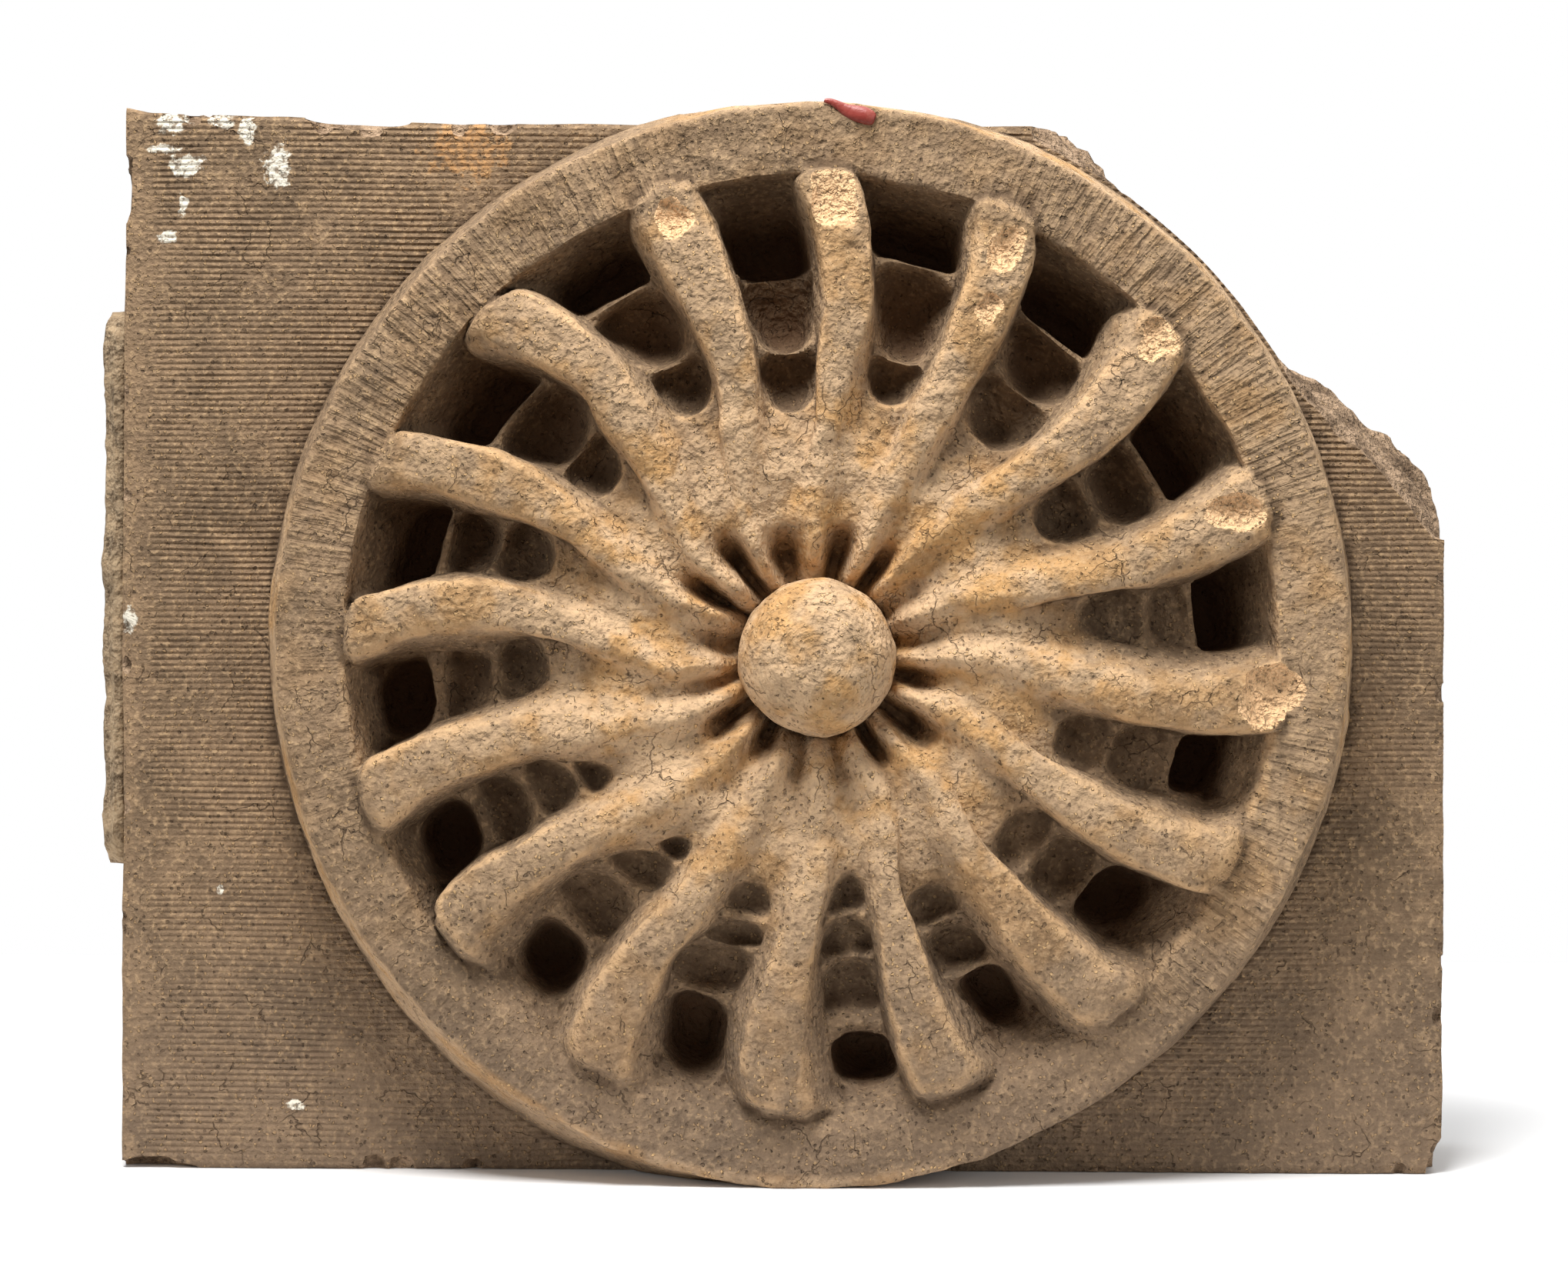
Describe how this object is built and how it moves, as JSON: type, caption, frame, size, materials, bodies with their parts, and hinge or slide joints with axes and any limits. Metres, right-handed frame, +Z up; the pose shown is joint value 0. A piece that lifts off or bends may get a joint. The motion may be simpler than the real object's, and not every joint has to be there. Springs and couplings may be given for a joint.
{
  "type": "terracotta wall panel",
  "caption": "Hollow-backed terracotta wall block with a combed face, a raised ring and a rosette of swaying arms around a domed hub; one corner is broken off.",
  "frame": {"origin": "middle of the block's bed, the flat underside it stands on", "axes": "+Z up, -Y towards the ornamented front, +X to the right of someone facing the front"},
  "size_m": [0.6239, 0.172, 0.484],
  "materials": {
    "terracotta": "unglazed fired clay with coarse grog, weathered",
    "mortar": "rough lime mortar, dirty",
    "red_wax": "satin sealing wax"
  },
  "bodies": {
    "root": {"terracotta_panel": "terracotta", "mortar_remnant": "mortar", "red_dab": "red_wax"}
  },
  "joints": []
}
